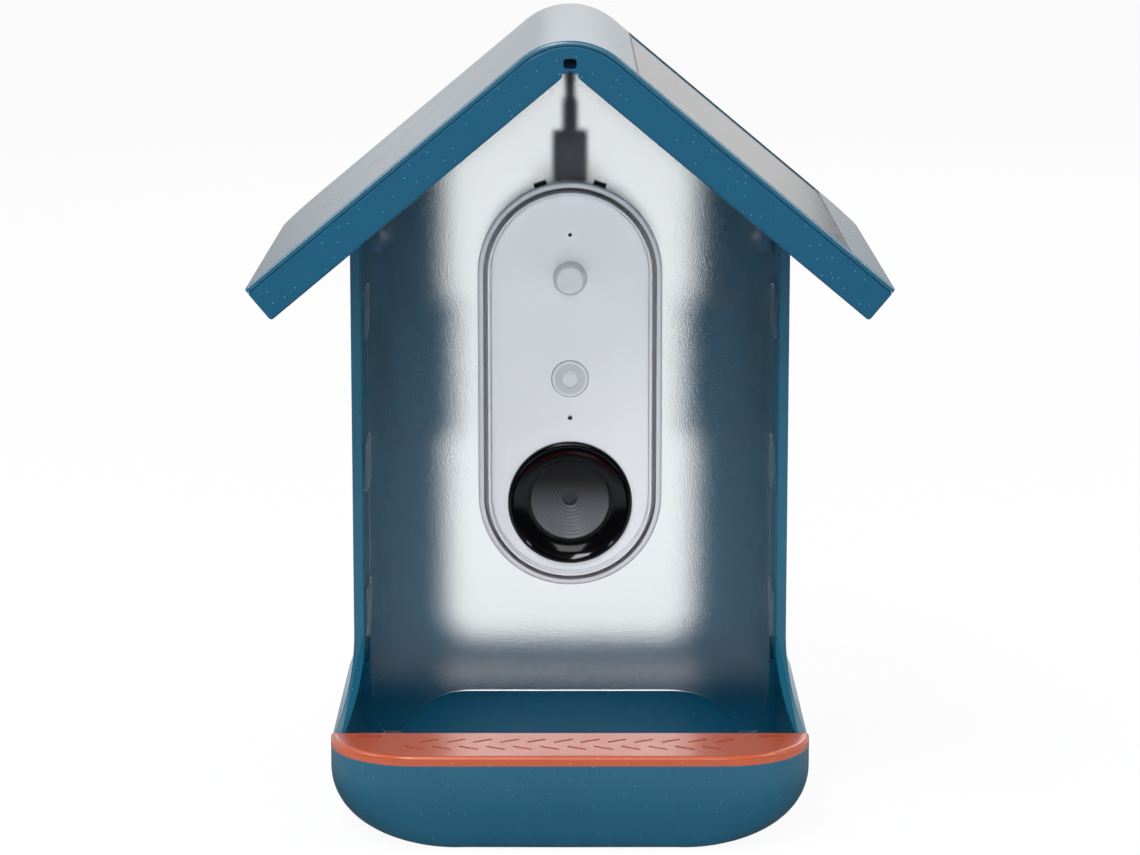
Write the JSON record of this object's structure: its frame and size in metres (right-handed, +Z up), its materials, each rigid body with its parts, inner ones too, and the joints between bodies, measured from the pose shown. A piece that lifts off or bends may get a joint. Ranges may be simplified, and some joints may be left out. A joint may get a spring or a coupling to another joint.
{
  "type": "smart bird feeder",
  "caption": "Gabled bird feeder with a camera in its frosted seed window, a tray with a perch, a solar roof and a hinged rear filling door.",
  "frame": {"origin": "centre of the bounding box on the ground, under the feeder", "axes": "+X to the right seen from the front, -Y towards the perch at the front, +Z up"},
  "size_m": [0.1892, 0.155, 0.2456],
  "materials": {
    "house_plastic": "speckled moulded",
    "roof_plastic": "speckled moulded",
    "cover_plastic": "satin moulded",
    "perch_plastic": "speckled moulded",
    "frosted_plastic": "frosted",
    "clear_plastic": "clear",
    "camera_grey": "fine textured",
    "camera_dark_grey": "fine textured",
    "lens_black": "polished",
    "baffle_black": "ringed",
    "optical_glass": "coated",
    "motion_plastic": "milky",
    "solar_black": "satin",
    "solar_cell_blue": "gridded",
    "solar_cover_glass": "clear",
    "cable_rubber": "matte",
    "seal_rubber": "matte",
    "foot_rubber": "matte",
    "insert_brass": "knurled",
    "steel": "plated",
    "board_green": "solder mask",
    "chip_black": "moulded",
    "battery_wrap": "foil wrap",
    "foam_white": "foam tape",
    "pull_plastic": "moulded"
  },
  "bodies": {
    "house": {"housing_shell": "house_plastic", "seed_ramp": "house_plastic", "perch": "perch_plastic", "pole_insert": "insert_brass", "bracket_insert_1": "insert_brass", "bracket_insert_2": "insert_brass", "foot_1": "foot_rubber", "foot_2": "foot_rubber", "foot_3": "foot_rubber", "foot_4": "foot_rubber", "roof_base": "roof_plastic", "roof_cover": "cover_plastic", "roof_screws": "steel", "charge_board": "board_green", "solar_frame": "solar_black", "solar_cells": "solar_cell_blue", "solar_glass": "solar_cover_glass", "cable_gland": "seal_rubber", "charging_cable": "cable_rubber", "strain_relief": "cable_rubber", "charging_plug": "cable_rubber", "plug_shell": "steel", "hopper_window": "frosted_plastic", "dock_ring": "camera_dark_grey", "dock_gasket": "seal_rubber", "dock_clip_1": "camera_dark_grey", "dock_clip_2": "camera_dark_grey", "camera_front_shell": "camera_grey", "shell_seal": "seal_rubber", "camera_rear_shell": "camera_grey", "face_plate": "camera_grey", "lens_ring": "lens_black", "lens_glass": "optical_glass", "lens_baffle": "baffle_black", "lens_barrel": "baffle_black", "objective_lens": "optical_glass", "image_sensor": "chip_black", "motion_lens": "motion_plastic", "motion_sensor": "steel", "button_switch": "chip_black", "microphone": "steel", "microphone_seal": "seal_rubber", "status_light": "foam_white", "light_pipe": "clear_plastic", "front_board": "board_green", "main_board": "board_green", "board_screws": "steel", "battery": "battery_wrap", "battery_pad": "foam_white", "speaker": "chip_black", "charging_socket": "steel", "hinge_pin": "steel", "catch_magnet_1": "steel", "catch_magnet_2": "steel"},
    "rear_door": {"rear_door": "clear_plastic", "door_pull": "pull_plastic", "door_magnet_1": "steel", "door_magnet_2": "steel"},
    "power_button": {"power_button": "camera_dark_grey"}
  },
  "joints": [
    {"name": "rear_door_hinge", "type": "hinge", "parent": "house", "child": "rear_door", "pos_m": [0, 0.0692, 0.0282], "axis": [-1, 0, 0], "range_deg": [0, 90]},
    {"name": "power_button_press", "type": "slide", "parent": "house", "child": "power_button", "axis": [0, 1, 0], "range_m": [0, 0.0008], "stiffness_N_per_m": 400, "springref_m": -0.0005}
  ]
}
